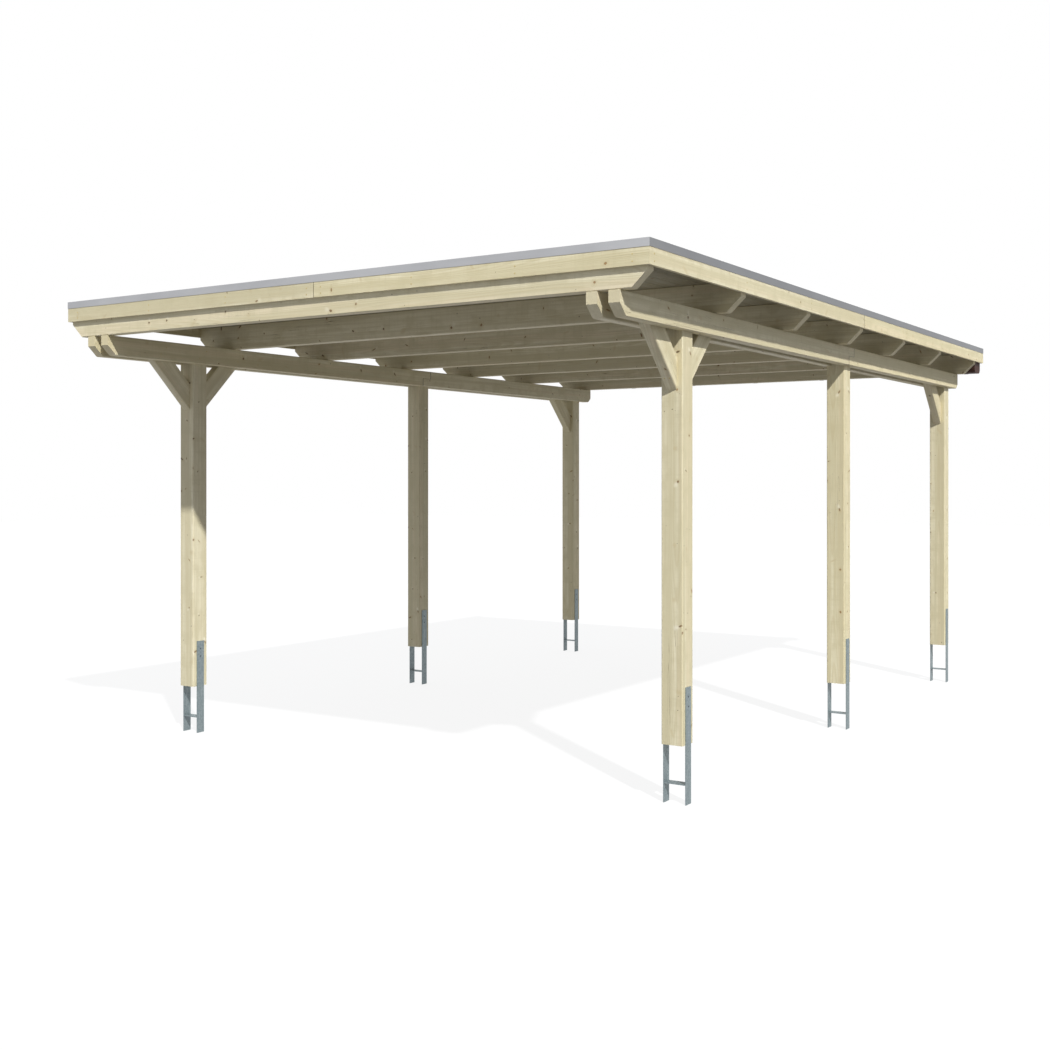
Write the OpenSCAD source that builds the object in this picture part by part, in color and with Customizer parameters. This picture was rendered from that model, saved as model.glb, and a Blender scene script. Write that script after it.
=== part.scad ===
// Open timber carport with a flat roof on six posts, in millimetres.
// The origin is on the ground below the middle of the roof: +X right, +Y back, +Z up.

/* [Roof] */
// Outside width of the roof, across the parking bay
roof_w = 4040; // [3400:10:6000]
// Outside length of the roof, from the front edge to the gutter edge
roof_l = 6040; // [5000:10:8000]
// Thickness of the roof boards
deck_t = 20; // [16:1:28]
// Thickness of the sealing sheet on the boards
membrane_t = 2; // [1:0.5:4]
// Height of the sheet's turned-up edge above the boards
membrane_up = 15; // [8:1:20]
// Depth of the open strip behind the last rafter, where the gutter hangs
eave_l = 180; // [150:5:260]
// Overhang of the roof boards past the last rafter, over the gutter
deck_drip = 50; // [30:5:80]

/* [Fascia and trim] */
// Thickness of the fascia boards
fascia_t = 20; // [16:1:28]
// Height of the fascia boards
fascia_h = 120; // [100:5:160]
// Height of the fascia boards' top above the roof boards
upstand = 38; // [28:1:50]
// Sheet thickness of the metal edge trim
trim_t = 2; // [1:0.5:3]
// Height of the trim's outer leg
trim_h = 40; // [30:1:60]

/* [Timber] */
// Chamfer planed along the edges of posts, purlins, braces and rafters
arris = 4; // [2:1:6]

/* [Posts] */
// Side of the square posts
post_w = 120; // [100:5:160]
// Height of the posts from foot to shoulder
post_h = 2110; // [1900:10:2600]
// Distance from the roof's side edge to the middle of the posts
side_overhang = 255; // [220:5:400]
// Distance from the roof's front edge to the middle of the front posts
front_overhang = 795; // [640:5:1000]
// Distance from the roof's back edge to the middle of the back posts
back_overhang = 405; // [350:5:600]

/* [Anchors] */
// Height of the posts' feet above the ends of the anchors
foot_z = 305; // [240:5:400]
// Length of the anchor plates that grips the post
anchor_grip = 295; // [200:5:400]
// Width of the anchor plates and of the web between them
anchor_w = 60; // [40:5:80]
// Thickness of the anchor plates and of the web between them
anchor_t = 5; // [4:1:8]
// Height of the web above the ends of the anchors
web_z = 100; // [60:5:150]
// Diameter of the screw holes in the anchor plates
hole_d = 11; // [8:1:14]
// Distance from the plates' top to the first screw hole
hole_edge = 50; // [30:5:60]
// Distance between the two screw holes
hole_pitch = 50; // [30:5:80]

/* [Purlins] */
// Thickness of each purlin
purlin_t = 60; // [45:5:80]
// Height of each purlin
purlin_h = 120; // [100:5:180]
// Gap between the two purlins of a pair, which holds the post tongues and braces
purlin_gap = 60; // [45:5:80]
// Height of the plumb part of a purlin's front end
nose_h = 60; // [40:5:80]
// Length of the slanted part of a purlin's front end
nose_l = 65; // [40:5:100]
// Height of the chamfer under a purlin's back end
tail_h = 35; // [20:5:50]
// Length of the chamfer under a purlin's back end
tail_l = 45; // [20:5:60]
// Length of the half lap over the middle posts
lap_l = 100; // [80:5:120]

/* [Braces] */
// Depth of the braces, square to their length
brace_h = 120; // [90:5:140]
// Drop of the braces' lower ends below the purlins
brace_drop = 300; // [240:10:400]
// Angle between the braces and the posts
brace_angle = 45; // [38:1:50]
// Gap over the braces' upper ends, below the top of the purlins
brace_gap = 10; // [0:1:20]

/* [Rafters] */
// Thickness of the rafters
rafter_t = 60; // [45:5:80]
// Height of the rafters
rafter_h = 160; // [140:5:200]
// Height of the slanted cut at the rafters' ends
rafter_cut_h = 80; // [50:5:90]
// Length of the slanted cut at the rafters' ends
rafter_cut_l = 85; // [50:5:100]
// How much longer the first and last rafter bays are than the bays between
end_bay_extra = 110; // [0:5:150]
// Distance of the middle rafter, where the side fascias are joined, in front of the roof's middle
mid_shift = 35; // [0:5:100]

/* [Gutter] */
// Height of the gutter
gutter_h = 110; // [90:5:120]
// Wall of the gutter
gutter_wall = 3; // [2:0.5:5]
// Radius of the gutter's lower edges, outside
gutter_r = 40; // [20:5:45]
// Diameter of the bead along the gutter's outer rim
bead_d = 12; // [8:1:14]
// Drop of the gutter's rim below the roof boards
gutter_drop = 40; // [25:5:45]
// Clearance from the gutter to the roof's back edge
gutter_back = 10; // [5:5:40]
// Clearance from the gutter's ends to the side fascias
gutter_end = 4; // [1:1:10]

/* [Hidden] */
$fn = 48;
SIDES = ["left", "right"];
ROWS = ["front", "middle", "back"];
LAYERS = ["outer", "inner"];
HALVES = ["front", "back"];

// Heights from the ground up
anchor_h = foot_z + anchor_grip;
shoulder_z = foot_z + post_h;
purlin_top = shoulder_z + purlin_h;
rafter_top = purlin_top + rafter_h;
deck_top = rafter_top + deck_t;
fascia_top = deck_top + upstand;
roof_top = fascia_top + trim_t;
gutter_top = rafter_top - gutter_drop;

// Places across and along the carport
post_x = roof_w / 2 - side_overhang;
front_y = -roof_l / 2 + front_overhang;
back_y = roof_l / 2 - back_overhang;
post_ys = [front_y, (front_y + back_y) / 2, back_y];
edge_in = trim_t + fascia_t;
inside_x = roof_w / 2 - edge_in;
frame_y0 = -roof_l / 2 + edge_in;
frame_y1 = roof_l / 2 - eave_l;
first_y = frame_y0 + rafter_t / 2;
mid_y = -mid_shift;
last_y = frame_y1 - rafter_t / 2;
front_pitch = (mid_y - first_y - end_bay_extra) / 3;
back_pitch = (last_y - mid_y - end_bay_extra) / 3;
gutter_w = eave_l - gutter_back;

// Distance by which a cutter passes the face it cuts, and the share by which a slanted one does
cut = 1;
over = 0.2;

spruce = "#d8cfae";
steel = "#8a969c";
sheet = "#a9abb0";
brown = "#2c1a17";

// Sign of a side, so that one drawing serves both: left is -X
function side_sign(side) = side == "left" ? -1 : 1;

// Middles of the seven rafters, from the front: even bays on each side of the middle one,
// apart from the longer first and last bays
rafter_ys = [
    first_y, mid_y - 2 * front_pitch, mid_y - front_pitch, mid_y,
    mid_y + back_pitch, mid_y + 2 * back_pitch, last_y
];

// Section of a planed timber, its four edges chamfered
module planed(w, h) {
    x = w / 2;
    y = h / 2;
    polygon([
        [x, arris - y], [x, y - arris], [x - arris, y], [arris - x, y],
        [-x, y - arris], [-x, arris - y], [arris - x, -y], [x - arris, -y]
    ]);
}

// Planed timber along Y, from y0 to y1, with its section's middle at x and z
module timber_y(x, z, y0, y1, w, h) {
    translate([x, y0, z]) rotate([-90, 0, 0]) linear_extrude(y1 - y0) planed(w, h);
}

// Cutter through X for a child drawn in Y and Z
module cut_yz(x, w) {
    translate([x - w / 2 - cut, 0, 0]) rotate([90, 0, 90]) linear_extrude(w + 2 * cut) children();
}

// Outline that takes off the corner beyond the line from a, on an end, to b, on an underside
module corner_off(a, b) {
    past = (b - a) * over;
    polygon([a - past, b + past, [a.x - past.x, b.y + past.y]]);
}

// Square post, cut back at the top to a tongue that stands up between the two purlins
module post(side, y) {
    color(spruce) translate([side_sign(side) * post_x, y, foot_z]) difference() {
        linear_extrude(post_h + purlin_h) planed(post_w, post_w);
        for (x = [-post_w / 2 - cut, purlin_gap / 2]) translate([x, -post_w / 2 - cut, post_h])
            cube([(post_w - purlin_gap) / 2 + cut, post_w + 2 * cut, purlin_h + cut]);
    }
}

// Steel anchor: two plates on the sides of the post and a web between them below its foot
module anchor(side, y) {
    color(steel) translate([side_sign(side) * post_x, y, 0]) difference() {
        union() {
            for (x = [-post_w / 2 - anchor_t, post_w / 2])
                translate([x, -anchor_w / 2, 0]) cube([anchor_t, anchor_w, anchor_h]);
            translate([-post_w / 2, -anchor_w / 2, web_z]) cube([post_w, anchor_w, anchor_t]);
        }
        for (x = [-post_w / 2 - anchor_t, post_w / 2], i = [0, 1])
            translate([x - cut, 0, anchor_h - hole_edge - i * hole_pitch])
                rotate([0, 90, 0]) cylinder(d = hole_d, h = anchor_t + 2 * cut);
    }
}

// One length of a purlin: the halves lap over the middle post, the front one on top
module purlin(side, layer, half) {
    lap_z = shoulder_z + purlin_h / 2;
    lap_y0 = post_ys[1] - lap_l / 2;
    lap_y1 = post_ys[1] + lap_l / 2;
    outward = side_sign(side) * (layer == "outer" ? 1 : -1);
    x = side_sign(side) * post_x + outward * (purlin_gap + purlin_t) / 2;
    color(spruce) difference() {
        if (half == "front") timber_y(x, lap_z, frame_y0, lap_y1, purlin_t, purlin_h);
        else timber_y(x, lap_z, lap_y0, frame_y1, purlin_t, purlin_h);
        cut_yz(x, purlin_t) if (half == "front") {
            corner_off([frame_y0, purlin_top - nose_h], [frame_y0 + nose_l, shoulder_z]);
            translate([lap_y0, shoulder_z - cut]) square([lap_l + cut, purlin_h / 2 + cut]);
        } else {
            corner_off([frame_y1, shoulder_z + tail_h], [frame_y1 - tail_l, shoulder_z]);
            translate([lap_y0 - cut, lap_z]) square([lap_l + cut, purlin_h / 2 + cut]);
        }
    }
}

// Brace from a post's face up into the gap between the purlins, leaning to -Y or +Y
module brace(side, y, lean) {
    foot = shoulder_z - brace_drop;
    top = purlin_top - brace_gap;
    face_h = brace_h / sin(brace_angle);
    stock_l = 2 * (top - foot) / cos(brace_angle);
    reach = (top - foot) * tan(brace_angle) + cut;
    x = side_sign(side) * post_x;
    face = y + lean * post_w / 2;
    color(spruce) intersection() {
        translate([x, face, foot + face_h / 2]) rotate([-lean * brace_angle, 0, 0])
            linear_extrude(stock_l, center = true) planed(purlin_gap, brace_h);
        translate([x - purlin_gap / 2 - cut, lean > 0 ? face : face - reach, foot - cut])
            cube([purlin_gap + 2 * cut, reach, top - foot + cut]);
    }
}

// Rafter with both ends cut plumb above and slanted below
module rafter(i) {
    y = rafter_ys[i - 1];
    cut_z = purlin_top + rafter_cut_h;
    low_x = inside_x - rafter_cut_l;
    color(spruce) difference() {
        translate([-inside_x, y, purlin_top + rafter_h / 2])
            rotate([90, 0, 90]) linear_extrude(2 * inside_x) planed(rafter_t, rafter_h);
        for (s = [-1, 1]) translate([0, y + rafter_t / 2 + cut, 0])
            rotate([90, 0, 0]) linear_extrude(rafter_t + 2 * cut)
                corner_off([s * inside_x, cut_z], [s * low_x, purlin_top]);
    }
}

// Roof boards on the rafters, inside the fascias
module roof_deck() {
    color(spruce) translate([-inside_x, frame_y0, rafter_top])
        cube([2 * inside_x, frame_y1 - frame_y0 + deck_drip, deck_t]);
}

// Sealing sheet on the boards, turned up along the front and the sides
module roof_membrane() {
    sheet_l = frame_y1 - frame_y0 + deck_drip;
    color(sheet) translate([-inside_x, frame_y0, deck_top]) difference() {
        cube([2 * inside_x, sheet_l, membrane_up]);
        translate([membrane_t, membrane_t, membrane_t])
            cube([2 * inside_x - 2 * membrane_t, sheet_l, membrane_up]);
    }
}

// Plan of a strip along the front edge, between two distances in from the outline
module front_strip(a, b) {
    polygon([
        for (s = [-1, 1], d = s < 0 ? [b, a] : [a, b]) [s * (roof_w / 2 - d), -roof_l / 2 + d]
    ]);
}

// Plan of a strip along the right edge, mitred at the front corner
module side_strip(a, b) {
    polygon([
        [roof_w / 2 - a, -roof_l / 2 + a], [roof_w / 2 - a, roof_l / 2],
        [roof_w / 2 - b, roof_l / 2], [roof_w / 2 - b, -roof_l / 2 + b]
    ]);
}

// Plan of a box that keeps one length of a board: from x0 to x1 and from y0 to y1
module plan_box(x0, x1, y0, y1) {
    translate([x0, y0]) square([x1 - x0, y1 - y0]);
}

// Front fascia board, in two lengths that meet in the middle
module fascia_front(side) {
    s = side_sign(side);
    color(spruce) translate([0, 0, fascia_top - fascia_h]) linear_extrude(fascia_h) intersection() {
        front_strip(trim_t, edge_in);
        plan_box(min(0, s * roof_w), max(0, s * roof_w), -roof_l / 2, roof_l / 2);
    }
}

// Side fascia board, in two lengths that meet on the middle rafter
module fascia_side(side, half) {
    y0 = half == "front" ? -roof_l / 2 : mid_y;
    y1 = half == "front" ? mid_y : roof_l / 2;
    color(spruce) mirror([side == "left" ? 1 : 0, 0, 0]) translate([0, 0, fascia_top - fascia_h])
        linear_extrude(fascia_h) intersection() {
            side_strip(trim_t, edge_in);
            plan_box(0, roof_w, y0, y1);
        }
}

// Folded metal cap over a fascia: the plans of its outer leg, top and inner leg are children
module trim_cap() {
    leg_z = deck_top + membrane_up;
    color(sheet) {
        translate([0, 0, roof_top - trim_h]) linear_extrude(trim_h) children(0);
        translate([0, 0, fascia_top]) linear_extrude(trim_t) children(1);
        translate([0, 0, leg_z]) linear_extrude(roof_top - leg_z) children(2);
    }
}

module trim_front() {
    trim_cap() {
        front_strip(0, trim_t);
        front_strip(0, edge_in + trim_t);
        front_strip(edge_in, edge_in + trim_t);
    }
}

module trim_side(side) {
    mirror([side == "left" ? 1 : 0, 0, 0]) trim_cap() {
        side_strip(0, trim_t);
        side_strip(0, edge_in + trim_t);
        side_strip(edge_in, edge_in + trim_t);
    }
}

// Solid trough along X with rounded lower edges, from its front lower corner
module trough(l, w, h, r) {
    translate([0, 0, r]) cube([l, w, h - r]);
    translate([0, r, 0]) cube([l, w - 2 * r, h]);
    for (y = [r, w - r]) translate([0, y, r]) rotate([0, 90, 0]) cylinder(r = r, h = l);
}

// Gutter on the back of the last rafter, with closed ends and a bead along its outer rim
module gutter() {
    l = 2 * (inside_x - gutter_end);
    color(brown) translate([-l / 2, frame_y1, gutter_top - gutter_h]) {
        difference() {
            trough(l, gutter_w, gutter_h, gutter_r);
            translate([gutter_wall, gutter_wall, gutter_wall])
                trough(l - 2 * gutter_wall, gutter_w - 2 * gutter_wall, gutter_h, gutter_r - gutter_wall);
        }
        translate([0, gutter_w - bead_d / 2, gutter_h - bead_d / 2])
            rotate([0, 90, 0]) cylinder(d = bead_d, h = l);
    }
}

for (s = SIDES, i = [0 : 2]) {
    post(s, post_ys[i]);
    anchor(s, post_ys[i]);
}
for (s = SIDES, l = LAYERS, h = HALVES)
    purlin(s, l, h);
for (s = SIDES) {
    brace(s, post_ys[0], -1);
    brace(s, post_ys[0], 1);
    brace(s, post_ys[2], -1);
}
for (i = [1 : 7]) rafter(i);
roof_deck();
roof_membrane();
for (s = SIDES) {
    fascia_front(s);
    for (h = HALVES) fascia_side(s, h);
    trim_side(s);
}
trim_front();
gutter();
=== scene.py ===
import math

import bmesh
import bpy
from mathutils import Matrix, Vector


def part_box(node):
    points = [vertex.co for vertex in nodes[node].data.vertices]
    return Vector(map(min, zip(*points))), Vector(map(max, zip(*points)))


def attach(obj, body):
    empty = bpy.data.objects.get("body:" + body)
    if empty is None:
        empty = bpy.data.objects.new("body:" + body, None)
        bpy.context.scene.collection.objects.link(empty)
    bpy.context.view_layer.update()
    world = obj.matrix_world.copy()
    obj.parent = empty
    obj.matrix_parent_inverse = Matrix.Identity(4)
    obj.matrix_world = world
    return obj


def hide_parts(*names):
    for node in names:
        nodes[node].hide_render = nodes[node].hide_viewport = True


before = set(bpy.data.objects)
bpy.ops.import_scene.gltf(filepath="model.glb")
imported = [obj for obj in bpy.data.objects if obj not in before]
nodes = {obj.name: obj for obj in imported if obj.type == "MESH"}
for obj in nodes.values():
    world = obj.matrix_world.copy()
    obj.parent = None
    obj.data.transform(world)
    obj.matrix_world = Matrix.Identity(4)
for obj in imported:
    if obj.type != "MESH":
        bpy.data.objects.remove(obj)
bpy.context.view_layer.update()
scene = bpy.context.scene
scene.view_settings.view_transform = "Standard"
print("frame:", len(nodes), "CAD nodes loaded")

# where the timbers stand, in metres in the part's own frame
layout = {
    "postX": 1.765,
    "postHalf": 0.06,
    "postRows": (-2.225, 0.195, 2.615),
    "postStep": 2.42,  # from one post to the next along a side
    "purlinFace": 1.675,  # inner face of the inner purlins
    "purlinMiddle": 2.475,  # height at which the purlins are half lapped
    "lapHalf": 0.05,  # half the length of that lap
    "jointRow": -0.035,  # the middle rafter, where boards and side fascias are joined
}
postX, postHalf, postRows = layout["postX"], layout["postHalf"], layout["postRows"]


def srgb(red, green, blue):  # a screen colour as Blender's linear numbers
    flat = [v / 255 for v in (red, green, blue)]
    return [v / 12.92 if v < 0.04045 else ((v + 0.055) / 1.055) ** 2.4 for v in flat] + [1.0]


# camera at the photograph's place: level, with the frame slid down by the lens shift
photoCamera = {
    "place": (4.763, -8.298, 1.657),
    "turn": 0.574,  # radians to the left of +Y
    "focal": 1311.4,  # pixels, in a frame 1050 wide
    "frame": 1050,
    "horizon": 479.8,  # pixel row of the horizon
    "sensor": 36,
}
lens = bpy.data.cameras.new("photoCamera")
lens.sensor_width = photoCamera["sensor"]
lens.lens = photoCamera["sensor"] * photoCamera["focal"] / photoCamera["frame"]
lens.shift_y = photoCamera["horizon"] / photoCamera["frame"] - 0.5
stand = bpy.data.objects.new("photoCamera", lens)
stand.location = photoCamera["place"]
stand.rotation_euler = (math.pi / 2, 0, photoCamera["turn"])
scene.collection.objects.link(stand)
scene.camera = stand


class Wire:  # one socket of a node tree, which takes part in sums
    def __init__(self, tree, socket=None):
        self.tree, self.socket = tree, socket

    def node(self, kind, settings=None, feeds=None, out=0):
        made = self.tree.nodes.new("ShaderNode" + kind)
        for name, value in (settings or {}).items():
            setattr(made, name, value)
        for name, value in (feeds or {}).items():
            if isinstance(value, Wire):
                self.tree.links.new(value.socket, made.inputs[name])
            else:
                made.inputs[name].default_value = value
        return Wire(self.tree, made.outputs[out] if len(made.outputs) else None)

    def also(self, name):  # another output of the same node
        return Wire(self.tree, self.socket.node.outputs[name])

    def sum(self, operation, *terms):
        return self.node("Math", {"operation": operation}, dict(enumerate(terms)))

    def __add__(self, other):
        return self.sum("ADD", self, other)

    def __radd__(self, other):
        return self.sum("ADD", other, self)

    def __sub__(self, other):
        return self.sum("SUBTRACT", self, other)

    def __rsub__(self, other):
        return self.sum("SUBTRACT", other, self)

    def __mul__(self, other):
        return self.sum("MULTIPLY", self, other)

    def __rmul__(self, other):
        return self.sum("MULTIPLY", other, self)

    def __truediv__(self, other):
        return self.sum("DIVIDE", self, other)

    def __pow__(self, other):
        return self.sum("POWER", self, other)

    def __abs__(self):
        return self.sum("ABSOLUTE", self)

    def __gt__(self, other):
        return self.sum("GREATER_THAN", self, other)

    def __lt__(self, other):
        return self.sum("LESS_THAN", self, other)


def rise(value, low, high):  # 0 below low, 1 above high, smooth between
    return value.node(
        "MapRange", {"interpolation_type": "SMOOTHSTEP"},
        {"Value": value, "From Min": low, "From Max": high})


def vectors(operation, first, second=(0, 0, 0), out=0):
    return first.node("VectorMath", {"operation": operation}, {0: first, 1: second}, out)


def apart(vector):  # a vector's three numbers
    x = vector.node("SeparateXYZ", None, {0: vector})
    return x, x.also("Y"), x.also("Z")


def together(x, y, z):
    wire = next(v for v in (x, y, z) if isinstance(v, Wire))
    return wire.node("CombineXYZ", None, {0: x, 1: y, 2: z})


def mix(share, first, second):  # two colours
    return share.node("Mix", {"data_type": "RGBA"}, {0: share, 6: first, 7: second}, out=2)


def cloud(place, stretch, detail, out="Fac"):  # noise about 0.5, with its own scale by axis
    return place.node(
        "TexNoise", None,
        {"Vector": vectors("MULTIPLY", place, stretch), "Scale": 1.0, "Detail": detail}, out)


def startFinish(name):
    made = bpy.data.materials.new(name)
    made.use_nodes = True
    made.node_tree.nodes.clear()
    return made, Wire(made.node_tree)


def closeFinish(wire, height, depth, feeds):  # bump in metres, then the shader
    bump = wire.node("Bump", None, {"Strength": 1.0, "Distance": depth, "Height": height})
    shade = wire.node("BsdfPrincipled", None, {"Normal": bump, **feeds})
    wire.node("OutputMaterial", None, {"Surface": shade})


# lights, floor and sky; floor and sky look white, and the floor keeps a faint shadow
studio = {
    "sunWay": (0.596, -0.454, 0.686),  # towards the light, right front above
    "sunPower": 4.3,
    "sunAngle": 1.4,  # degrees
    "skyGlow": 0.52,  # the same from all round
    "backGlow": 0.55,  # and more from behind on the left, where the sun leaves it dark
    "backWay": (-0.6, 0.8, 0),
    "skyTint": (0.95, 0.98, 1.04, 1),  # a little cool, as the photograph's shade is
    "floorSize": 80,
    "floorGlow": 0.42,  # soft light that the floor gives the object from below
    "floorTint": (0.98, 0.99, 1.1, 1),
    "floorLean": 0.35,  # share by which it is dimmer on the sunny side
    "leanFrom": 0.8, "leanTo": 2.4,  # metres to the right, between which it dims
    "floorPale": (0.9, 0.9, 0.9, 1),  # the part of it that takes the shadow
    "shadowShare": 0.12,  # how much of its shadow the floor shows
}
plainWhite = (1, 1, 1, 1)
lamp = bpy.data.lights.new("keyLight", "SUN")
lamp.energy = studio["sunPower"]
lamp.angle = math.radians(studio["sunAngle"])
key = bpy.data.objects.new("keyLight", lamp)
key.rotation_mode = "QUATERNION"
key.rotation_quaternion = Vector(studio["sunWay"]).to_track_quat("Z", "Y")
scene.collection.objects.link(key)


def seenDirectly(wire):  # 1 for what the eye, a mirror or a glass sees
    ray = wire.node("LightPath", out="Is Camera Ray")
    return ray.sum("MAXIMUM", ray, ray.sum(
        "MAXIMUM", ray.also("Is Glossy Ray"), ray.also("Is Transmission Ray")))


sky = bpy.data.worlds.new("softSky")
scene.world = sky
sky.use_nodes = True
sky.node_tree.nodes.clear()
skyWire = Wire(sky.node_tree)
toBack = vectors("DOT_PRODUCT", skyWire.node("TexCoord"), studio["backWay"], "Value")
dome = skyWire.node("Background", None, {
    "Color": studio["skyTint"],
    "Strength": studio["skyGlow"] + studio["backGlow"] * rise(toBack, 0, 1)})
white = skyWire.node("Background", None, {"Color": plainWhite, "Strength": 1.0})
skyShown = skyWire.node("MixShader", None, {0: seenDirectly(skyWire), 1: dome, 2: white})
skyWire.node("OutputWorld", None, {"Surface": skyShown})

floorFinish, floorWire = startFinish("paleFloor")
toRight, _, _ = apart(floorWire.node("TexCoord", out="Object"))
sunnySide = rise(toRight, studio["leanFrom"], studio["leanTo"])
fill = floorWire.node("Emission", None, {
    "Color": studio["floorTint"],
    "Strength": studio["floorGlow"] * (1 - studio["floorLean"] * sunnySide)})
pale = floorWire.node("BsdfDiffuse", None, {"Color": studio["floorPale"]})
glow = floorWire.node("Emission", None, {"Color": plainWhite, "Strength": 1.0})
shown = floorWire.node("MixShader", None, {0: studio["shadowShare"], 1: glow, 2: pale})
above = floorWire.node("MixShader", None, {0: seenDirectly(floorWire), 1: fill, 2: shown})
below = floorWire.node("BsdfTransparent")  # clear from underneath
floorSide = floorWire.node("NewGeometry", out="Backfacing")
floorBoth = floorWire.node("MixShader", None, {0: floorSide, 1: above, 2: below})
floorWire.node("OutputMaterial", None, {"Surface": floorBoth})
bpy.ops.object.select_all(action="DESELECT")
bpy.ops.mesh.primitive_plane_add(size=studio["floorSize"])
floor = bpy.context.object
floor.name = "studioFloor"
floor.data.materials.append(floorFinish)
print("camera, light and floor ready")

# planed spruce: growth rings about a pith, fibres, knots, drying checks and end grain
spruceLook = {
    "pale": srgb(224, 216, 185),
    "band": srgb(201, 192, 157),
    "blush": srgb(216, 201, 168),  # a warmer tone in some of the lengthwise bands
    "late": srgb(188, 173, 132),
    "halo": srgb(194, 178, 137),
    "swirlAndPaintedGlint": srgb(240, 234, 212),  # pale wood beside a knot, lit up as a painted highlight
    "liveKnot": srgb(170, 136, 92),
    "deadKnot": srgb(112, 91, 64),
    "rim": srgb(72, 56, 40),
    "check": srgb(104, 86, 62),
    "endPale": srgb(216, 207, 174),
    "endLate": srgb(190, 174, 134),
    "ringGap": 0.003,
    "bumpDepth": 0.0006,
}
tintShare = {  # how strongly each pattern colours the wood
    "blush": 0.6, "band": 0.75, "mottle": 0.6, "ripple": 0.25, "streak": 0.48, "late": 0.3,
    "fibre": 0.35, "halo": 0.5, "rim": 0.75, "pin": 0.85, "crack": 0.6, "butt": 0.8, "joint": 0.75}
patternScale = {  # how often each one changes in a metre: twice across the grain, then along it
    "ragged": (130, 130, 110), "sway": (1.6, 1.6, 0.7), "band": (20, 20, 0.4),
    "blush": (13, 13, 0.2), "mottle": (15, 15, 10), "ripple": (4, 4, 75),
    "streak": (75, 75, 1.1), "fibre": (260, 260, 3.4), "seam": (46, 46, 0.8), "crack": (4, 4, 0.9)}
# knots: space for one across and along a face, least and largest radius, how far a slit may lean
# from straight across the grain, in radians, and how long it may be drawn
branchKnots = {
    "row": 0.11, "step": 0.24, "small": 0.003, "large": 0.0068, "lean": 2.9, "drawn": 2.0}
pinKnots = {
    "row": 0.036, "step": 0.085, "small": 0.0012, "large": 0.003, "lean": 2.4, "drawn": 0.9}
alongX, alongY, alongZ = (0, -math.pi / 2, 0), (math.pi / 2, 0, 0), (0, 0, 0)
farOff = 100.0  # a cell so long that the piece isn't cut along it
halfWay = (0.5, 0.5, 0.5)
swayReach = (0.05, 0.05, 0)  # metres by which the rings wander


def scatterKnots(across, w, key, size, share, ragged):  # share is how many spaces hold a knot
    row, step = across / size["row"] + key, w / size["step"] + key * 1.9
    spot = row.node(
        "TexVoronoi", {"voronoi_dimensions": "2D"},
        {"Vector": together(row, step, 0), "Scale": 1.0, "Randomness": 0.9}, "Position")
    spotRow, spotStep, _ = apart(spot)
    much, there, chance = apart(spot.also("Color"))
    radius = size["small"] + (size["large"] - size["small"]) * much ** 1.6
    offRow = (row - spotRow) * size["row"]
    offStep = (step - spotStep) * size["step"]
    lean = (chance - 0.5) * size["lean"]
    cosine, sine = lean.sum("COSINE", lean), lean.sum("SINE", lean)
    lengthwise = (offRow * cosine + offStep * sine) / radius
    sideways = (offStep * cosine - offRow * sine) / radius
    drawn = 1 + size["drawn"] * chance.sum("FRACT", chance * 9) ** 2
    span = ((lengthwise / drawn) ** 2 + (sideways * drawn ** 0.6) ** 2) ** 0.5 * ragged
    aside = (((lengthwise + drawn + 2.4) / 4.4) ** 2 + (sideways / 3.2) ** 2) ** 0.5
    live = chance.sum("FRACT", chance * 23)
    dark = there > 1 - share
    core = (1 - rise(span, 0.75, 1.2)) * dark
    rim = rise(span, 0.3, 0.9) * (1 - rise(span, 1.0, 1.45)) * dark * (1 - live * 0.7)
    halo = (1 - rise(span, 0.9, 4.2)) * (there > 0.7 - share)
    # painted highlight on the pale swirl beside some knots, strongest by the larger ones
    swirlAndPaintedGlint = (1 - rise(aside, 0.0, 1.0)) * dark * (live < 0.6) * (0.35 + much * 0.65)
    return core, live, rim, halo, swirlAndPaintedGlint, offRow * halo * dark * 0.5


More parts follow.
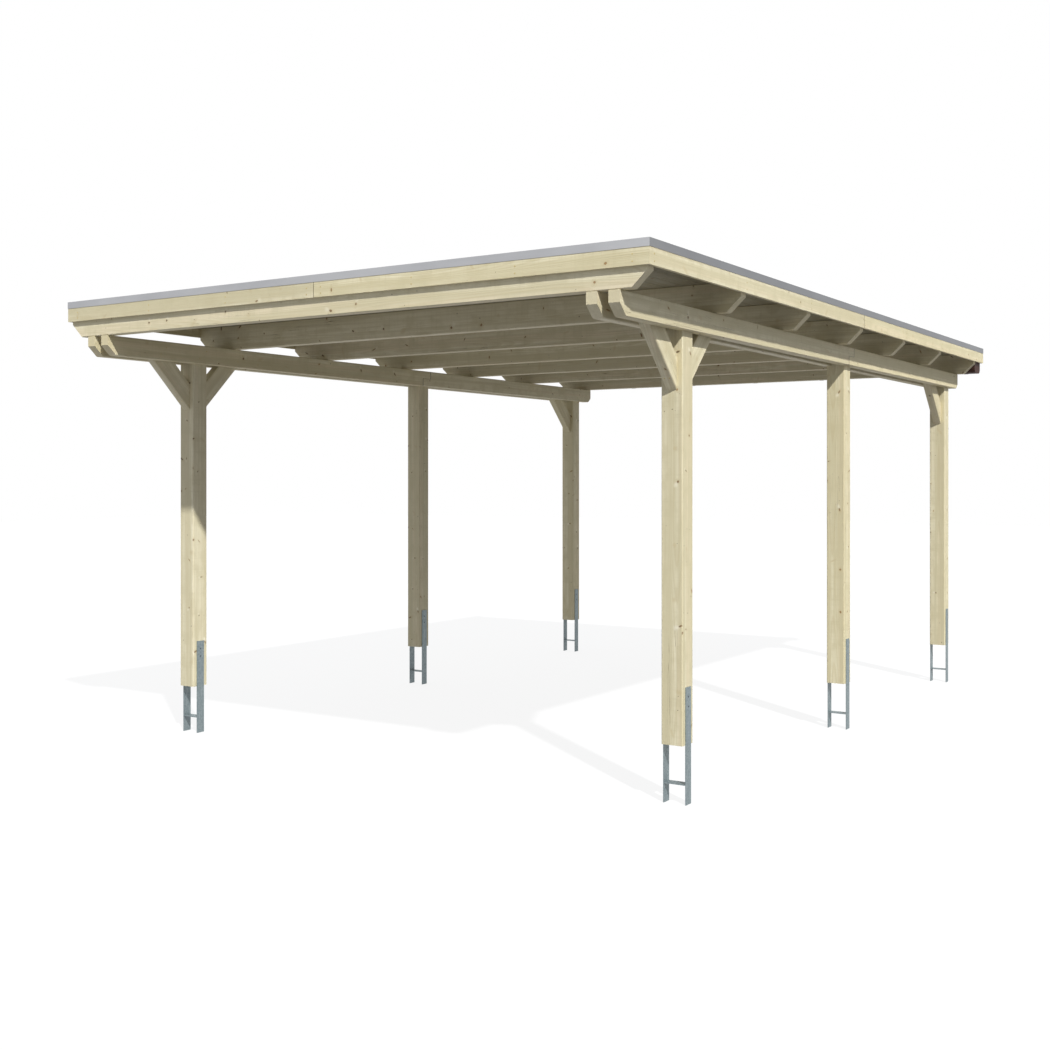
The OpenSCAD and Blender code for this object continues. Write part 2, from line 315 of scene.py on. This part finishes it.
def spruce(name, turn, cell, middle, pith=0.06, lap=None, shade=1.0, joint=0.0009,
           knots=0.5, paintedGlintShare=0.4):
    look, tint, scale = spruceLook, tintShare, patternScale
    made, wire = startFinish(name)
    place = wire.node("TexCoord", out="Object")
    normal = wire.node(
        "Mapping", {"vector_type": "VECTOR"}, {"Vector": place.also("Normal"), "Rotation": turn})

    # each timber stands in its own cell of space, which gives it its own chance
    start = [m - c / 2 for m, c in zip(middle, cell)]
    own = place
    if lap:  # the two lengths of a purlin change over at the steps of their half lap
        x, y, z = apart(place)
        own = together(x, y - lap["half"] * ((z > lap["height"]) * 2 - 1), z)
    cells = vectors("DIVIDE", vectors("SUBTRACT", own, start), cell)
    index = vectors("FLOOR", cells)
    chance = wire.node("TexWhiteNoise", {"noise_dimensions": "3D"}, {"Vector": index}, "Color")
    cellMiddle = vectors("ADD", vectors("MULTIPLY", index, cell), middle)
    turned = wire.node(
        "Mapping", None, {"Vector": vectors("SUBTRACT", place, cellMiddle), "Rotation": turn})
    u, v, w = apart(turned)  # w runs along the grain
    nu, nv, nw = apart(normal)
    one, two, three = apart(chance)

    # knots, laid out face by face: branches, and pin knots in loose groups
    side = abs(nu) > abs(nv)
    across = v * side + u * (1 - side)
    key = side * 5.7 + ((nu + nv) > 0) * 3.3 + one * 40  # another number for each face
    ragged = 0.7 + 0.6 * cloud(turned, scale["ragged"], 2.0)
    core, live, rim, halo, swirlAndPaintedGlint, push = scatterKnots(across, w, key, branchKnots, knots, ragged)
    pin, _, pinRim, _, _, _ = scatterKnots(across, w, key + 11.3, pinKnots, knots * 0.3, ragged)
    group = rise(cloud(together(w, key, 0), (2.3, 1, 1), 1.0), 0.46, 0.56)
    pin, pinRim = pin * group, pinRim * group

    # the grain parts round a knot
    grain = together(
        u - push * (1 - side) + one * 9, v - push * side + two * 9, w + three * 30)
    sway = vectors("SUBTRACT", cloud(grain, scale["sway"], 1.0, "Color"), halfWay)
    fromPith = vectors("ADD", together(u, v, 0), vectors(
        "MULTIPLY", vectors("SUBTRACT", chance, halfWay), (pith * 2, pith * 2, 0)))
    bent = vectors("ADD", fromPith, vectors("MULTIPLY", sway, swayReach))
    toPith = vectors("LENGTH", vectors("ADD", bent, together(push, push, 0)), out="Value")
    year = toPith.sum("FRACT", toPith / look["ringGap"])
    late = rise(year, 0.3, 0.88) * (1 - rise(year, 0.9, 1.0))
    band = rise(cloud(grain, scale["band"], 2.0), 0.42, 0.6)
    blush = rise(cloud(grain, scale["blush"], 1.0), 0.48, 0.54)
    mottle = rise(cloud(grain, scale["mottle"], 4.0), 0.42, 0.66)
    ripple = rise(cloud(grain, scale["ripple"], 2.0), 0.5, 0.7)
    streak = rise(cloud(grain, scale["streak"], 3.0), 0.42, 0.66)
    fibre = cloud(grain, scale["fibre"], 3.0)
    seam = abs(cloud(grain, scale["seam"], 1.0) - 0.5)
    crack = (1 - rise(seam, 0.0, 0.004)) * rise(cloud(grain, scale["crack"], 1.0), 0.56, 0.64)

    body = mix(blush * tint["blush"], look["pale"], look["blush"])
    body = mix(band * tint["band"], body, look["band"])
    body = mix(mottle * tint["mottle"] + ripple * tint["ripple"], body, look["band"])
    body = mix(streak * tint["streak"], body, look["band"])
    body = mix(late * tint["late"], body, look["late"])
    body = mix(rise(fibre, 0.45, 0.75) * tint["fibre"], body, look["late"])
    body = mix(halo * tint["halo"], body, look["halo"])
    # the pale swirl beside a knot, painted brighter as a highlight
    body = mix(swirlAndPaintedGlint * paintedGlintShare, body, look["swirlAndPaintedGlint"])
    body = mix(core, body, mix(live, look["deadKnot"], look["liveKnot"]))
    body = mix(rim * tint["rim"], body, look["rim"])
    body = mix(pin.sum("MAXIMUM", pin, pinRim) * tint["pin"], body, look["rim"])
    body = mix(crack * tint["crack"], body, look["check"])
    butt = mix(late * tint["butt"], look["endPale"], look["endLate"])
    body = mix(rise(abs(nw), 0.6, 0.8), body, butt)
    body = wire.node("HueSaturation", None, {
        "Color": body, "Value": shade * (0.95 + three * 0.08), "Saturation": 0.95 + one * 0.12})
    edge = vectors("MULTIPLY", vectors("FRACTION", vectors("ADD", cells, halfWay)), cell)
    ex, ey, _ = apart(vectors("ABSOLUTE", vectors("SUBTRACT", edge, [c / 2 for c in cell])))
    nearest = ex.sum("MINIMUM", ex, ey)
    if lap:  # and along the level cut between those steps
        away = abs(y - lap["middle"]) > lap["half"]
        nearest = nearest.sum("MINIMUM", nearest, abs(z - lap["height"]) * 3 + away)
    line = 1 - rise(nearest, joint * 0.6, joint * 1.4)  # dark where two lengths meet
    body = mix(line * tint["joint"], body, look["rim"])
    height = late * 0.35 + fibre * 0.5 + streak * 0.3 + core * 0.5 - crack * 1.5 - line * 2
    closeFinish(wire, height, look["bumpDepth"], {
        "Base Color": body, "Roughness": 0.6 + fibre * 0.2 - core * 0.12,
        "Specular IOR Level": 0.3})
    return made


# for each slot: the way of its grain, the cell of space that each timber has to itself, the
# middle of one such cell, and what sets this wood apart
acrossBay, middleRow = 2 * postX, postRows[1]
postCell = (acrossBay, layout["postStep"], farOff)
woodPlan = {
    "post": {
        "name": "sprucePost", "turn": alongZ, "cell": postCell, "middle": (postX, middleRow, 0),
        "knots": 0.68, "paintedGlintShare": 0.7},
    "purlin": {  # the bay in 29 cells, so that each purlin has one of its own
        "name": "sprucePurlin", "turn": alongY, "cell": (acrossBay / 29, farOff, farOff),
        "middle": (1.825, middleRow + farOff / 2, 0), "joint": 0.003,
        "lap": {
            "half": layout["lapHalf"], "height": layout["purlinMiddle"], "middle": middleRow}},
    "rafter": {
        "name": "spruceRafter", "turn": alongX, "cell": (farOff, 0.94, farOff),
        "middle": (0, layout["jointRow"], 2.615), "pith": 0.1},
    "brace_leading": {
        "name": "spruceBraceLeading", "turn": (-math.pi / 4, 0, 0), "cell": postCell,
        "middle": (postX, middleRow, 2.3)},
    "brace_trailing": {
        "name": "spruceBraceTrailing", "turn": (math.pi / 4, 0, 0), "cell": postCell,
        "middle": (postX, middleRow, 2.3)},
    "fascia_front": {
        "name": "spruceFasciaFront", "turn": alongX, "cell": (2.02, farOff, farOff),
        "middle": (1.01, -3.008, 2.69), "pith": 0.12, "joint": 0.0022, "knots": 0.3},
    "fascia_side": {
        "name": "spruceFasciaSide", "turn": alongY, "cell": (4.036, 6.0, farOff),
        "middle": (2.018, 2.965, 2.69), "pith": 0.12, "joint": 0.003, "knots": 0.3},
    "deck": {  # a cell for each of the 36 boards
        "name": "spruceBoards", "turn": alongY, "cell": (3.996 / 36, 6.0, farOff),
        # the boards are drawn at half brightness: painted shade for the dark underside of the roof
        "middle": (0.0555, 2.965, 2.705), "pith": 0.09, "shade": 0.5},
}
woods = {slot: spruce(**plan) for slot, plan in woodPlan.items()}
print("spruce ready:", len(woods), "finishes")

zincLook = {
    "dark": srgb(114, 127, 130), "light": srgb(145, 156, 157), "rubbed": srgb(170, 178, 182),
    "crystals": 110.0, "metallic": 0.55, "bumpDepth": 0.0002}


def galvanised(name):  # zinc crystals, dull, with a few rubbed streaks
    made, wire = startFinish(name)
    place = wire.node("TexCoord", out="Object")
    crystal = wire.node(
        "TexVoronoi", None,
        {"Vector": place, "Scale": zincLook["crystals"], "Randomness": 1.0}, "Color")
    lightness, tilt, _ = apart(crystal)
    blotch = cloud(place, (9, 9, 4), 4.0)
    rub = rise(cloud(place, (140, 140, 6), 2.0), 0.58, 0.72)
    colour = mix(lightness * 0.6 + blotch * 0.4, zincLook["dark"], zincLook["light"])
    colour = mix(rub * 0.35, colour, zincLook["rubbed"])
    height = lightness * 0.3 + cloud(place, (420, 420, 420), 2.0) * 0.5
    closeFinish(wire, height, zincLook["bumpDepth"], {
        "Base Color": colour, "Metallic": zincLook["metallic"],
        "Roughness": 0.42 + tilt * 0.16 - rub * 0.1})
    return made


foldLook = {
    # side is painted shade: a darker colour for the trims along the sides, as if they catch less
    # light
    "dark": srgb(170, 171, 174), "light": srgb(188, 189, 191), "side": srgb(96, 98, 101),
    "sideShadeShare": 0.54, "metallic": 0.95, "bumpDepth": 0.0002}


def foldedSheet(name):  # coated aluminium with faint rolling lines
    made, wire = startFinish(name)
    place = wire.node("TexCoord", out="Object")
    lines = cloud(place, (2.2, 2.2, 620), 2.0)
    haze = cloud(place, (2.5, 2.5, 6), 4.0)
    grit = cloud(place, (520, 520, 520), 2.0)
    sideways, _, _ = apart(place.also("Normal"))
    cast = rise(haze, 0.3, 0.7) * 0.5 + lines * 0.3
    colour = mix(cast, foldLook["dark"], foldLook["light"])
    # painted shade on the side-facing sheet, by the way its surface faces
    paintedShadeSides = rise(abs(sideways), 0.5, 0.8)  # the trims along the sides are darker
    colour = mix(paintedShadeSides * foldLook["sideShadeShare"], colour, foldLook["side"])
    closeFinish(wire, grit * 0.5 + lines * 0.4, foldLook["bumpDepth"], {
        "Base Color": colour, "Metallic": foldLook["metallic"], "Roughness": 0.5 + haze * 0.16})
    return made


plasticLook = {
    "dark": srgb(56, 36, 30), "light": srgb(72, 48, 39), "mark": srgb(104, 86, 74),
    "specular": 0.12, "bumpDepth": 0.0003}


def brownPlastic(name):  # extruded gutter plastic, with water marks
    made, wire = startFinish(name)
    place = wire.node("TexCoord", out="Object")
    drawn = cloud(place, (3, 160, 160), 2.0)
    marks = rise(cloud(place, (26, 26, 5), 4.0), 0.5, 0.75)
    colour = mix(drawn * 0.6, plasticLook["dark"], plasticLook["light"])
    colour = mix(marks * 0.25, colour, plasticLook["mark"])
    closeFinish(wire, drawn, plasticLook["bumpDepth"], {
        "Base Color": colour, "Roughness": 0.58 + marks * 0.2,
        "Specular IOR Level": plasticLook["specular"]})
    return made


# sealing sheet in strips across the roof, each lapped over the next one towards the eave
sheetPlan = {
    "strips": 6, "lap": 0.08, "wall": 0.002, "fold": 0.004, "lift": 0.0022, "bleed": 0.009}
sheetLow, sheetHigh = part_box("roof_membrane")
stripPitch = (sheetHigh.y - sheetLow.y) / sheetPlan["strips"]
slateLook = {
    "dark": srgb(80, 83, 87), "light": srgb(124, 126, 130), "dust": srgb(146, 145, 140),
    "washed": srgb(74, 76, 80), "caught": srgb(156, 151, 140), "bitumen": srgb(34, 34, 36),
    "grit": 420.0, "dustReach": 0.16, "bumpDepth": 0.0008}


def slateSheet(name):  # mineral grit, dust, and bitumen pressed out along each lap
    made, wire = startFinish(name)
    place = wire.node("TexCoord", out="Object")
    _, y, _ = apart(place)
    grit = wire.node(
        "TexVoronoi", None,
        {"Vector": place, "Scale": slateLook["grit"], "Randomness": 1.0}, "Color")
    grain, sparkle, _ = apart(grit)
    strips = (y - (sheetLow.y + sheetPlan["lap"])) / stripPitch
    number = strips.sum("FLOOR", strips)
    tone = wire.node("TexWhiteNoise", {"noise_dimensions": "1D"}, {"W": number}, "Value")
    behind = (strips - number) * stripPitch + (number < 0.5)  # metres behind the last lap, if any
    dust = rise(cloud(place, (1.1, 0.8, 1.0), 5.0), 0.4, 0.75)
    nearLap = 1 - rise(behind, 0.0, slateLook["dustReach"])
    caught = nearLap * rise(cloud(place, (5, 9, 1), 4.0), 0.35, 0.7)
    washed = rise(cloud(place, (7, 0.6, 1.0), 3.0), 0.5, 0.72)
    ooze = sheetPlan["bleed"] * (0.3 + 1.6 * cloud(place, (30, 1, 1), 3.0))
    bleed = behind < ooze
    colour = mix(grain * 0.8 + tone * 0.2, slateLook["dark"], slateLook["light"])
    colour = mix(dust * 0.35, colour, slateLook["dust"])
    colour = mix(washed * 0.14, colour, slateLook["washed"])
    colour = mix(caught * 0.4, colour, slateLook["caught"])
    colour = mix(bleed * 0.85, colour, slateLook["bitumen"])
    height = (grain * 0.8 + sparkle * 0.2) * (1 - bleed) + bleed * 0.6
    closeFinish(wire, height, slateLook["bumpDepth"], {
        "Base Color": colour, "Roughness": 0.82 + dust * 0.1 - bleed * 0.35,
        "Specular IOR Level": 0.25})
    return made


def screwSteel(name, dark, light):
    made, wire = startFinish(name)
    place = wire.node("TexCoord", out="Object")
    turned = cloud(place, (900, 900, 900), 2.0)
    colour = mix(turned, dark, light)
    closeFinish(wire, turned, 0.0001, {
        "Base Color": colour, "Metallic": 0.7, "Roughness": 0.4 + turned * 0.14})
    return made


finishes = {
    **woods,
    "anchor": galvanised("galvanisedSteel"),
    "trim": foldedSheet("foldedAluminium"),
    "gutter": brownPlastic("brownGutterPlastic"),
    "membrane": slateSheet("slateSheet"),
    "screw": screwSteel("yellowZinc", srgb(180, 163, 112), srgb(212, 196, 146)),
    # the anchor screws are zinc, coloured darker than zinc: painted shade for the dark holes in
    # the anchor plates
    "anchorScrew": screwSteel("darkZincForHoleShade", srgb(62, 68, 73), srgb(92, 98, 103)),
}
for node in nodes.values():  # every CAD node takes the finish of its own slot
    for held in node.material_slots:
        held.material = finishes[held.material.name.split(".")[0]]
print("finishes on the CAD nodes:", len(finishes))


def alone(*objects):  # selects these and nothing else
    bpy.ops.object.select_all(action="DESELECT")
    for each in objects:
        each.select_set(True)
    bpy.context.view_layer.objects.active = objects[0]


def shaping(on):
    bpy.ops.object.mode_set(mode="EDIT" if on else "OBJECT")


def settle(name):  # the active object's place goes into its mesh
    bpy.ops.object.transform_apply(location=True, rotation=True, scale=True)
    bpy.context.object.name = bpy.context.object.data.name = name
    return bpy.context.object


def addBlock(name, low, high):
    bpy.ops.object.select_all(action="DESELECT")
    bpy.ops.mesh.primitive_cube_add(size=1, location=[(a + b) / 2 for a, b in zip(low, high)])
    bpy.context.object.scale = [b - a for a, b in zip(low, high)]
    return settle(name)


# a place counts as met within so many metres, and a way as along an axis from this share up
near, facing = 0.001, 0.9


def pick(kind, test):  # in edit mode, by the middle and the way of each face, edge or corner
    bpy.ops.mesh.select_mode(type=kind)
    bpy.ops.mesh.select_all(action="DESELECT")
    shape = bmesh.from_edit_mesh(bpy.context.object.data)
    if kind == "FACE":
        found = [f for f in shape.faces if test(f.calc_center_median(), f.normal)]
    elif kind == "EDGE":
        ends = [(e, e.verts[0].co, e.verts[1].co) for e in shape.edges]
        found = [e for e, a, b in ends if test((a + b) / 2, (b - a).normalized())]
    else:
        found = [v for v in shape.verts if test(v.co, v.normal)]
    for part in found:
        part.select_set(True)
    bmesh.update_edit_mesh(bpy.context.object.data)


def work(piece, kind, **settings):  # one modifier, set and applied
    alone(piece)
    step = piece.modifiers.new(kind.lower(), kind)
    for name, value in settings.items():
        setattr(step, name, value)
    bpy.ops.object.modifier_apply(modifier=step.name)


def oneOf(name, parts):  # joins parts as one piece
    alone(*parts)
    if len(parts) > 1:
        bpy.ops.object.join()
    return settle(name)


def copiesAt(name, model, spots):  # copies of a model, each with its own mesh, as one piece
    twins = []
    for place, way in spots:
        twin = model.copy()
        twin.data = model.data.copy()
        scene.collection.objects.link(twin)
        if way:  # turned to look that way
            twin.data.transform(Vector(way).to_track_quat("Z", "Y").to_matrix().to_4x4())
        twin.data.transform(Matrix.Translation(place))
        twins.append(twin)
    return oneOf(name, twins)


def hang(piece, finish):  # its finish, its slot and the body that carries it
    piece.data.materials.clear()
    piece.data.materials.append(finishes[finish])
    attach(piece, "root")
    return piece


# single roof boards with a small V along each joint, in two lengths that meet on a rafter
boardPlan = {"count": 36, "vGroove": 0.0025, "sideGap": 0.0002, "endGap": 0.0006}
deckLow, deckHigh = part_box("roof_deck")
boardPitch = (deckHigh.x - deckLow.x) / boardPlan["count"]
boardRows = []
for front, back in (
        (deckLow.y, layout["jointRow"] - boardPlan["endGap"]),
        (layout["jointRow"] + boardPlan["endGap"], deckHigh.y)):
    board = addBlock(
        "roofBoard", (deckLow.x + boardPlan["sideGap"], front, deckLow.z),
        (deckLow.x + boardPitch - boardPlan["sideGap"], back, deckHigh.z))
    shaping(True)
    pick("EDGE", lambda middle, way: middle.z < deckLow.z + near and abs(way.y) > facing)
    bpy.ops.mesh.bevel(offset=boardPlan["vGroove"], segments=1, affect="EDGES")
    shaping(False)
    work(board, "ARRAY", count=boardPlan["count"], use_relative_offset=False,
         use_constant_offset=True, constant_offset_displace=(boardPitch, 0, 0))
    boardRows.append(board)
roofBoards = hang(oneOf("roofBoards", boardRows), "deck")
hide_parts("roof_deck")
print("roof boards:", 2 * boardPlan["count"])

# the sealing sheet's strips, with the outer edges turned up
sheetInset = sheetPlan["wall"] / 2
sheetStrips = []
for number in range(sheetPlan["strips"]):
    first, last = number == 0, number == sheetPlan["strips"] - 1
    front = sheetLow.y + number * stripPitch + (sheetInset if first else 0)
    back = sheetLow.y + (number + 1) * stripPitch + (0 if last else sheetPlan["lap"])
    bpy.ops.object.select_all(action="DESELECT")
    bpy.ops.mesh.primitive_plane_add(
        size=1, location=(0, (front + back) / 2, sheetLow.z + sheetInset))
    bpy.context.object.scale = (sheetHigh.x - sheetLow.x - sheetPlan["wall"], back - front, 1)
    strip = settle("sheetStrip")
    shaping(True)
    pick("EDGE", lambda middle, way: abs(way.y) > facing or (first and middle.y < front + near))
    bpy.ops.mesh.extrude_edges_move(
        TRANSFORM_OT_translate={"value": (0, 0, sheetHigh.z - sheetLow.z - sheetInset)})
    pick("EDGE", lambda middle, way: middle.z < sheetLow.z + 2 * near and (
        abs(way.y) > facing or (first and middle.y < front + near)))
    bpy.ops.mesh.bevel(offset=sheetPlan["fold"], segments=3, affect="EDGES")
    if not last:  # the rear edge lies on the next strip
        pick("VERT", lambda place, way: place.y > back - near)
        bpy.ops.transform.translate(value=(0, 0, sheetPlan["lift"]))
    shaping(False)
    work(strip, "SOLIDIFY", thickness=sheetPlan["wall"], offset=0)
    sheetStrips.append(strip)
roofSheet = hang(oneOf("roofSheet", sheetStrips), "membrane")
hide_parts("roof_membrane")
print("sealing sheet strips:", sheetPlan["strips"])

# a screw's head: its corners, and the rest in shares of its radius, for the crown of its height
headShape = {
    "corners": 12, "bevel": 0.14, "crown": 0.12, "ring": 0.36, "socketEdge": 0.04,
    "socket": 0.48, "pinch": 0.68, "middle": 0.05}


def makeScrew(size):  # a flat head with a six-point star socket, on the plane z = 0
    radius, proud = size["radius"], size["proud"]
    bpy.ops.object.select_all(action="DESELECT")
    bpy.ops.mesh.primitive_cylinder_add(
        vertices=headShape["corners"], radius=radius, depth=proud * 2)
    screw = settle("screw")
    shaping(True)
    pick("FACE", lambda middle, way: way.z > facing)
    bpy.ops.mesh.inset(thickness=radius * headShape["bevel"], depth=proud * headShape["crown"])
    bpy.ops.mesh.inset(thickness=radius * headShape["ring"])
    bpy.ops.mesh.inset(thickness=radius * headShape["socketEdge"])
    inner, turn = radius * headShape["socket"], math.tau / headShape["corners"]
    pick("VERT", lambda place, way: place.z > proud and place.xy.length < inner
         and round(math.atan2(place.y, place.x) / turn) % 2 == 0)  # every other corner
    bpy.ops.transform.resize(
        value=(headShape["pinch"], headShape["pinch"], 1), center_override=(0, 0, 0))
    pick("FACE", lambda middle, way: way.z > facing
         and middle.xy.length < radius * headShape["middle"])
    bpy.ops.mesh.extrude_region_move(
        TRANSFORM_OT_translate={"value": (0, 0, -size["sunk"])})
    shaping(False)
    return screw


# screws, each standing a little proud of the wood it holds
smallScrew = {"radius": 0.004, "proud": 0.0008, "sunk": 0.0006}
anchorScrew = {"radius": 0.0053, "proud": 0.0042, "sunk": 0.003}  # it fills the plate's hole
rafterRows = [sum(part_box("rafter_%d" % n)[k].y for k in (0, 1)) / 2 for n in range(1, 8)]

screw = makeScrew(smallScrew)
fasciaPlan = {
    "heights": (2.652, 2.686), "across": (0.05, 0.66, 1.29, 1.93), "besideJoint": 0.016}
faceX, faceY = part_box("fascia_right_front")[1].x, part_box("fascia_front_left")[0].y
jointRow = rafterRows[3]  # here a screw stands on each side of the joint
fasciaRows = [row for row in rafterRows if row != jointRow]
fasciaRows += [jointRow + side * fasciaPlan["besideJoint"] for side in (-1, 1)]
spots = []
for height in fasciaPlan["heights"]:
    for sign in (-1, 1):
        spots += [((sign * faceX, row, height), (sign, 0, 0)) for row in fasciaRows]
        spots += [((sign * x, faceY, height), (0, -1, 0)) for x in fasciaPlan["across"]]
hang(copiesAt("fasciaScrews", screw, spots), "screw")

# purlins: two screws into each post's tongue, one low and one high
tongueSpots = ((-0.03, -0.025), (0.03, 0.025))
purlinFace, purlinMiddle = layout["purlinFace"], layout["purlinMiddle"]
spots = []
for sign in (-1, 1):
    for row in postRows:
        spots += [((sign * purlinFace, row + off, purlinMiddle + up), (-sign, 0, 0))
                  for off, up in tongueSpots]
hang(copiesAt("purlinScrews", screw, spots), "screw")

# braces: two screws through the foot and two through the purlin beside the head
bracePlan = {
    "foot": 2.115, "screwUp": 0.055, "headOut": 0.275, "footApart": 0.014, "headApart": 0.022}
slope = math.sqrt(0.5)
spots = []
for sign in (-1, 1):
    for row, way in ((postRows[0], -1), (postRows[0], 1), (postRows[2], -1)):
        face = row + way * postHalf
        footY = face + way * bracePlan["screwUp"]
        footZ = bracePlan["foot"] + bracePlan["screwUp"]
        headY = face + way * bracePlan["headOut"]
        spots += [((sign * postX + side * bracePlan["footApart"], footY, footZ),
                   (0, way * slope, -slope)) for side in (-1, 1)]
        spots += [((sign * purlinFace, headY + off, purlinMiddle + off), (-sign, 0, 0))
                  for off in (-bracePlan["headApart"], bracePlan["headApart"])]
hang(copiesAt("braceScrews", screw, spots), "screw")
bpy.data.objects.remove(screw)

screw = makeScrew(anchorScrew)
plateHoles = (0.5, 0.55)  # heights of the holes in an anchor's plates
spots = [((sign * postX + way * postHalf, row, height), (way, 0, 0))
         for sign in (-1, 1) for row in postRows for way in (-1, 1) for height in plateHoles]
hang(copiesAt("anchorScrews", screw, spots), "anchorScrew")
bpy.data.objects.remove(screw)
print("screws in place")


def bendStrip(name, path, width, wall):  # a flat strip drawn along points in Y and Z, about X = 0
    (y0, z0), (y1, z1) = path[:2]
    bpy.ops.object.select_all(action="DESELECT")
    bpy.ops.mesh.primitive_plane_add(
        size=1, location=(0, (y0 + y1) / 2, (z0 + z1) / 2),
        rotation=(math.atan2(z1 - z0, y1 - y0), 0, 0))
    bpy.context.object.scale = (width, math.hypot(y1 - y0, z1 - z0), 1)
    strip = settle(name)
    shaping(True)
    pick("EDGE", lambda middle, way: math.hypot(middle.y - y1, middle.z - z1) < near / 100)
    for (ya, za), (yb, zb) in zip(path[1:], path[2:]):
        bpy.ops.mesh.extrude_edges_move(TRANSFORM_OT_translate={"value": (0, yb - ya, zb - za)})
    shaping(False)
    work(strip, "SOLIDIFY", thickness=wall, offset=0)
    return strip


def arc(middle, radius, first, last, steps):  # points in Y and Z, by degrees from +Y towards +Z
    angles = [math.radians(first + (last - first) * n / steps) for n in range(steps + 1)]
    return [(middle[0] + radius * math.cos(a), middle[1] + radius * math.sin(a)) for a in angles]


# straps that carry the gutter: round its underside and hooked over the bead
strapPlan = {
    "wide": 0.03, "wall": 0.002, "places": 7, "endIn": 0.1, "corner": 0.04, "bead": 0.006,
    "steps": 6, "softEdge": 0.0004}
gutterLow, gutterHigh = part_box("gutter")
reach, corner, bead = strapPlan["wall"] / 2, strapPlan["corner"], strapPlan["bead"]
strapPath = []
for middle, radius, first, last in (
        ((gutterLow.y + corner, gutterLow.z + corner), corner, 180, 270),
        ((gutterHigh.y - corner, gutterLow.z + corner), corner, 270, 360),
        ((gutterHigh.y - bead, gutterHigh.z - bead), bead, 0, 180)):
    strapPath += arc(middle, radius + reach, first, last, strapPlan["steps"])
strap = bendStrip("strap", strapPath[1:], strapPlan["wide"], strapPlan["wall"])
work(strap, "BEVEL", width=strapPlan["softEdge"], segments=1, limit_method="ANGLE")
strapSpan = gutterHigh.x - strapPlan["endIn"]
spots = [((strapSpan * (2 * n / (strapPlan["places"] - 1) - 1), 0, 0), None)
         for n in range(strapPlan["places"])]
hang(copiesAt("gutterStraps", strap, spots), "gutter")
bpy.data.objects.remove(strap)

# folded drip edge on the boards' ends, above the gutter
dripPlan = {
    "wall": 0.001, "down": 0.05, "kick": 0.008, "kickOut": 0.7, "lipOut": 1.2, "short": 0.004}
dripY, dripLow = deckHigh.y + dripPlan["wall"], sheetLow.z - dripPlan["down"]
kick, lipLow = dripPlan["kick"], dripLow - dripPlan["kick"]
dripEdge = bendStrip("eaveDrip", [
    (dripY, sheetLow.z), (dripY, dripLow), (dripY + kick * dripPlan["kickOut"], lipLow),
    (dripY + kick * dripPlan["lipOut"], lipLow)],
    2 * (gutterHigh.x - dripPlan["short"]), dripPlan["wall"])
hang(dripEdge, "trim")
print("gutter straps and drip edge in place")
